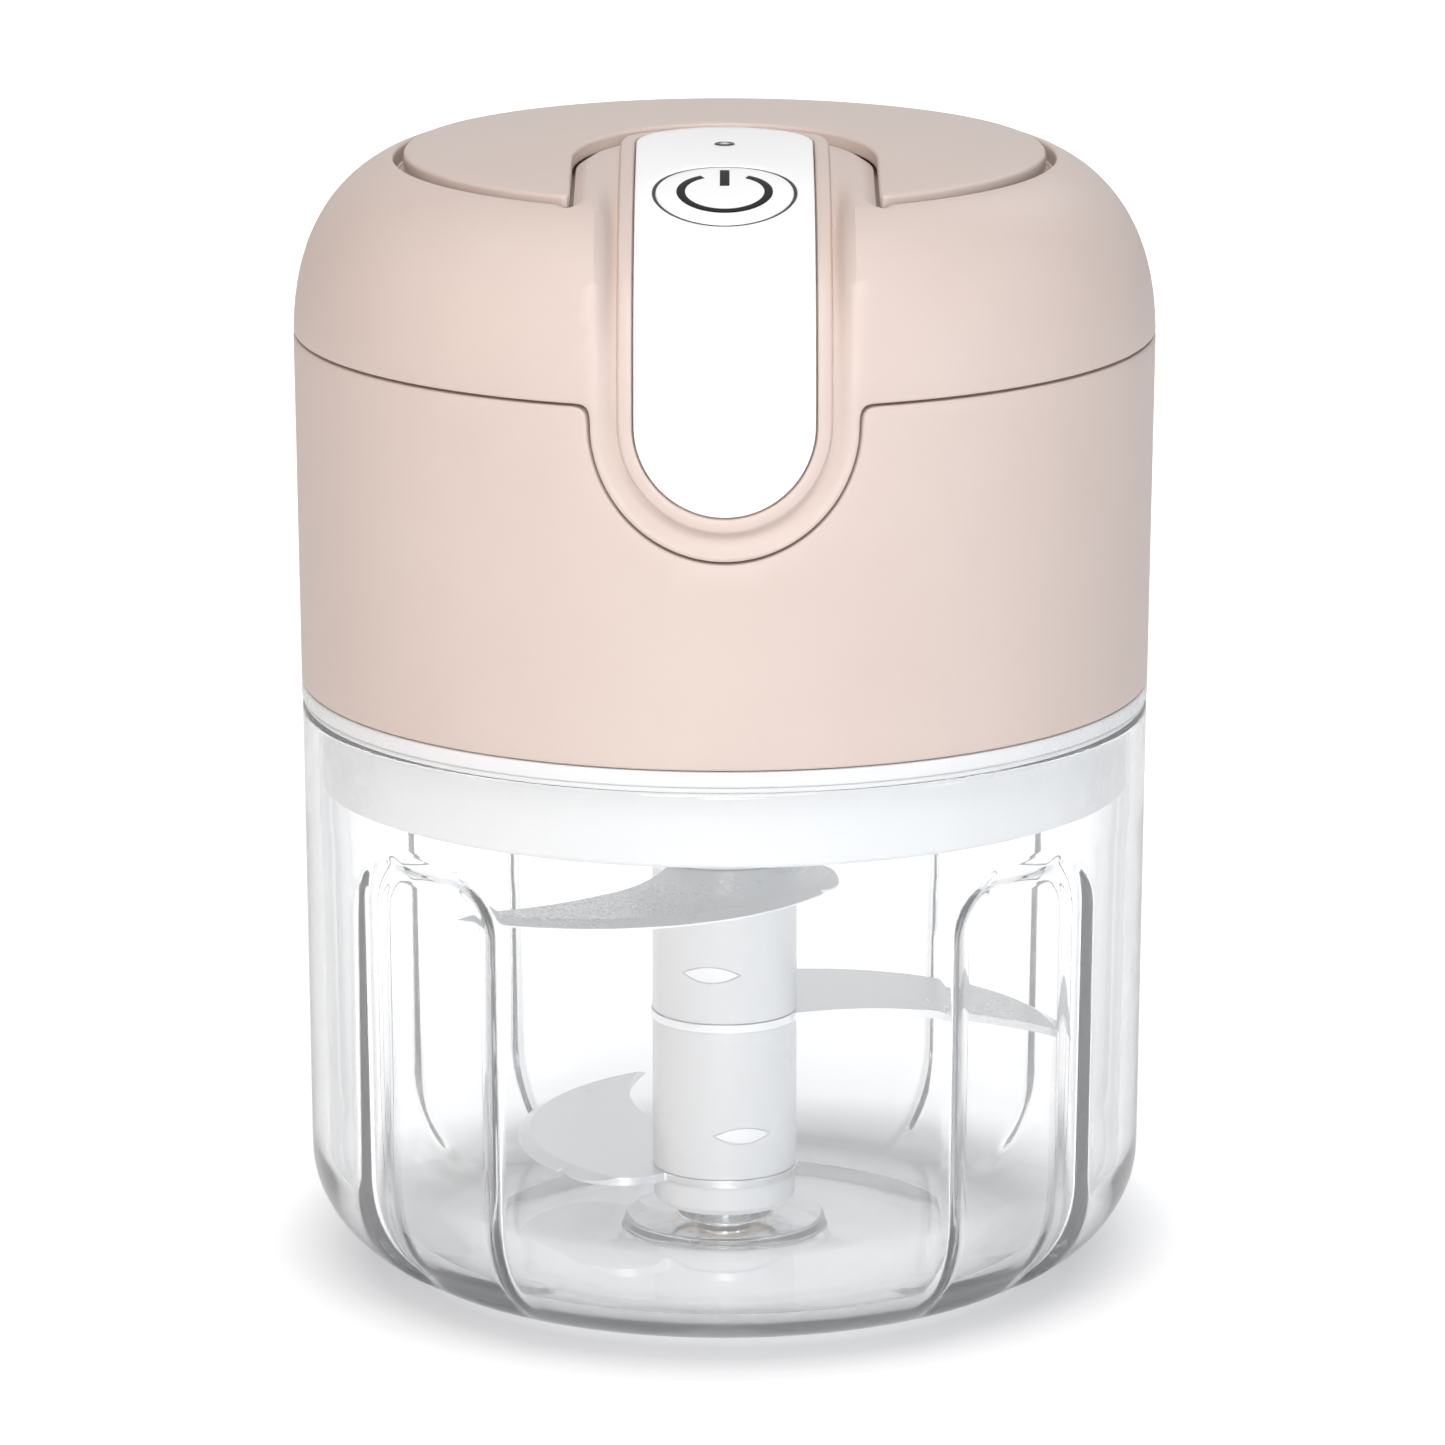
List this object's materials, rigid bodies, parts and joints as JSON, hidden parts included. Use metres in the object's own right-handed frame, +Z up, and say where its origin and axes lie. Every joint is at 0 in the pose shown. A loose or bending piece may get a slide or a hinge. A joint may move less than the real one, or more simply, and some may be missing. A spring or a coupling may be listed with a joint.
{
  "type": "mini food processor",
  "caption": "Cordless mini food processor: a clear fluted bowl with a stacked-blade rotor under a lift-off motor head with a top power button.",
  "frame": {"origin": "centre of the bowl's underside, on the surface it stands on", "axes": "+Z up along the bowl's and the blades' axis, -Y towards the front with the control strap, +X to the right seen from the front"},
  "size_m": [0.082, 0.082, 0.1113],
  "materials": {
    "clear_plastic": "clear, smooth moulded plastic",
    "stainless_steel": "finely brushed",
    "white_plastic": "satin moulded",
    "white_gloss": "gloss",
    "white_silicone": "soft matt silicone",
    "black_rubber": "matt rubber",
    "pink_plastic": "satin moulded, pale pink",
    "pink_silicone": "soft matt silicone",
    "lens": "clear gloss",
    "black_plastic": "moulded glass-filled plastic",
    "black_ink": "gloss black inlay",
    "zinc_steel": "zinc plated",
    "laminated_steel": "stacked laminations",
    "copper": "enamelled copper",
    "bronze": "sintered bronze",
    "ferrite": "matt ferrite",
    "cell_wrap": "shrink wrapped",
    "circuit_board": "solder mask",
    "wire_insulation": "smooth insulation"
  },
  "bodies": {
    "bowl": {"bowl": "clear_plastic", "bowl_pin": "stainless_steel"},
    "head": {"lower_cover": "white_plastic", "screw_plugs": "white_silicone", "seal_ring": "white_silicone", "spindle_seal": "black_rubber", "housing": "pink_plastic", "dome": "pink_plastic", "top_plate": "pink_plastic", "panel": "white_gloss", "led_lens": "lens", "chassis": "black_plastic", "motor_can": "zinc_steel", "motor_magnets": "ferrite", "motor_endcap": "black_plastic", "motor_bushes": "bronze", "motor_brushes": "ferrite", "battery_left": "cell_wrap", "battery_right": "cell_wrap", "battery_tabs": "zinc_steel", "control_board": "circuit_board", "power_switch": "black_plastic", "status_led": "lens", "charge_board": "circuit_board", "charge_socket": "zinc_steel", "case_screws": "zinc_steel", "dome_screws": "zinc_steel", "motor_screws": "zinc_steel", "board_screws": "zinc_steel", "motor_leads": "wire_insulation", "battery_leads": "wire_insulation", "charge_leads": "wire_insulation"},
    "button": {"power_button": "white_gloss", "power_mark": "black_ink", "switch_plunger": "black_plastic"},
    "rotor": {"rotor_core": "laminated_steel", "rotor_windings": "copper", "commutator": "copper", "spindle": "stainless_steel", "drive_coupling": "white_plastic"},
    "blade_bush": {"blade_bush": "bronze"},
    "blades": {"hub_core": "white_plastic", "hub_base": "white_plastic", "blade_lower": "stainless_steel", "hub_sleeve_lower": "white_plastic", "blade_middle": "stainless_steel", "hub_sleeve_upper": "white_plastic", "blade_upper": "stainless_steel", "hub_cap": "white_plastic"},
    "port_cover": {"port_cover": "pink_silicone"}
  },
  "joints": [
    {"name": "head_lift", "type": "slide", "parent": "bowl", "child": "head", "axis": [0, 0, 1], "range_m": [0, 0.12]},
    {"name": "blade_lift", "type": "slide", "parent": "bowl", "child": "blade_bush", "axis": [0, 0, 1], "range_m": [0, 0.054]},
    {"name": "blade_spin", "type": "hinge", "parent": "blade_bush", "child": "blades", "pos_m": [0, 0, 0.02], "axis": [0, 0, 1], "continuous": true},
    {"name": "rotor_spin", "type": "hinge", "parent": "head", "child": "rotor", "pos_m": [0, 0, 0.07], "axis": [0, 0, 1], "continuous": true},
    {"name": "button_press", "type": "slide", "parent": "head", "child": "button", "axis": [0, 0.2436, -0.9699], "range_m": [0, 0.0006], "stiffness_N_per_m": 400, "springref_m": -0.0005},
    {"name": "port_cover_hinge", "type": "hinge", "parent": "head", "child": "port_cover", "pos_m": [0, 0.03985, 0.0724], "axis": [1, 0, 0], "range_deg": [0, 100]}
  ],
  "couplings": [
    {"joint": "blade_lift", "follows": "head_lift", "ratio": 0.45},
    {"joint": "rotor_spin", "follows": "blade_spin", "ratio": 1}
  ]
}
